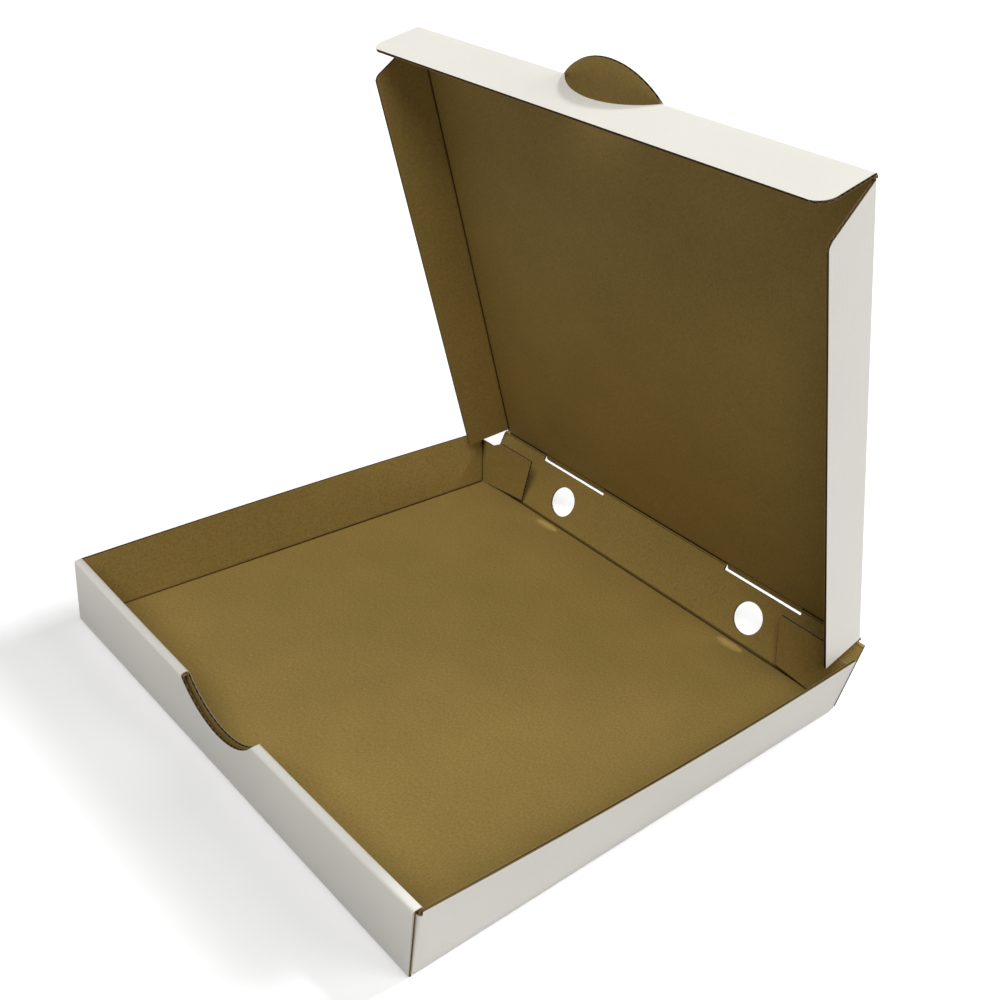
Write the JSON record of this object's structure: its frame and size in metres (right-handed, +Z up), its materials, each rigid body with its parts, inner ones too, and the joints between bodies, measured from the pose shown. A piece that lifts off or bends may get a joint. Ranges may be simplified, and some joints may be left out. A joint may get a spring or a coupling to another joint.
{
  "type": "pizza box",
  "caption": "Shallow square corrugated box with a hinged lid, tuck flaps, a rolled front wall with a thumb notch, and vent holes.",
  "frame": {"origin": "centre of the tray floor's underside, on the surface that the box stands on", "axes": "+Z up, +X to the right seen from the notched front, +Y to the back where the lid is hinged"},
  "size_m": [0.318, 0.3234, 0.3277],
  "materials": {
    "board_tray": "matte board, white outside and brown inside",
    "board_back_wall": "matte board, white outside and brown inside",
    "board_lid": "matte board, white outside and brown inside"
  },
  "bodies": {
    "tray": {"tray": "board_tray"},
    "back_wall": {"back_wall": "board_back_wall"},
    "lid": {"lid": "board_lid"}
  },
  "joints": [
    {"name": "back_wall_hinge", "type": "hinge", "parent": "tray", "child": "back_wall", "pos_m": [0, 0.1525, 0], "axis": [-1, 0, 0], "range_deg": [-22.5, 34]},
    {"name": "lid_hinge", "type": "hinge", "parent": "back_wall", "child": "lid", "pos_m": [0, 0.16781, 0.03696], "axis": [-1, 0, 0], "range_deg": [-46.85, 70]}
  ],
  "couplings": [
    {"joint": "back_wall_hinge", "follows": "lid_hinge", "ratio": 0.48025}
  ]
}
